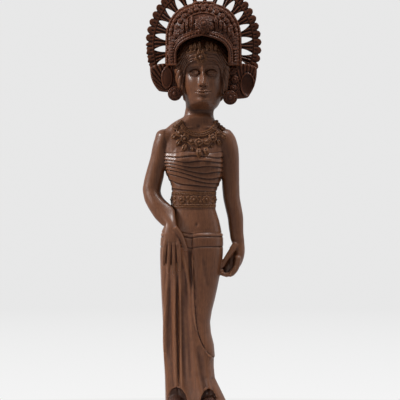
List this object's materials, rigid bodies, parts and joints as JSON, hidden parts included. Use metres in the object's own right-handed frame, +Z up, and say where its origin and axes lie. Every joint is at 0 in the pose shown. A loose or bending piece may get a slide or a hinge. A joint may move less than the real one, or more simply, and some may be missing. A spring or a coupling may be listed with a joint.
{
  "type": "carved standing figurine",
  "caption": "Tall carved wooden figurine of a standing woman in a wrapped skirt, with a domed crown and a pierced fan of rays, on an oval plinth.",
  "frame": {"origin": "middle of the plinth's underside", "axes": "+Z up through the figure, the figure faces -Y, its right hand is on the -X side"},
  "size_m": [0.1431, 0.086, 0.5393],
  "materials": {
    "polished_wood": "dark reddish brown carving wood, satin polished",
    "carved_wood": "the same wood, deeply carved, darker in the recesses",
    "pin_wood": "plain turned pin wood, unpolished"
  },
  "bodies": {
    "root": {"base": "polished_wood", "lower_figure": "polished_wood", "torso": "polished_wood", "right_arm": "polished_wood", "left_arm": "polished_wood", "head": "polished_wood", "crown": "carved_wood", "crown_fan": "carved_wood", "forehead_flower": "carved_wood", "ear_leaf_right": "carved_wood", "ear_leaf_left": "carved_wood", "ear_stud_right": "carved_wood", "ear_stud_left": "carved_wood", "foot_dowel_right": "pin_wood", "foot_dowel_left": "pin_wood", "waist_dowel_right": "pin_wood", "waist_dowel_left": "pin_wood", "shoulder_dowel_right": "pin_wood", "shoulder_dowel_left": "pin_wood", "neck_dowel": "pin_wood", "crown_dowel": "pin_wood", "fan_peg_right": "pin_wood", "fan_peg_left": "pin_wood"}
  },
  "joints": []
}
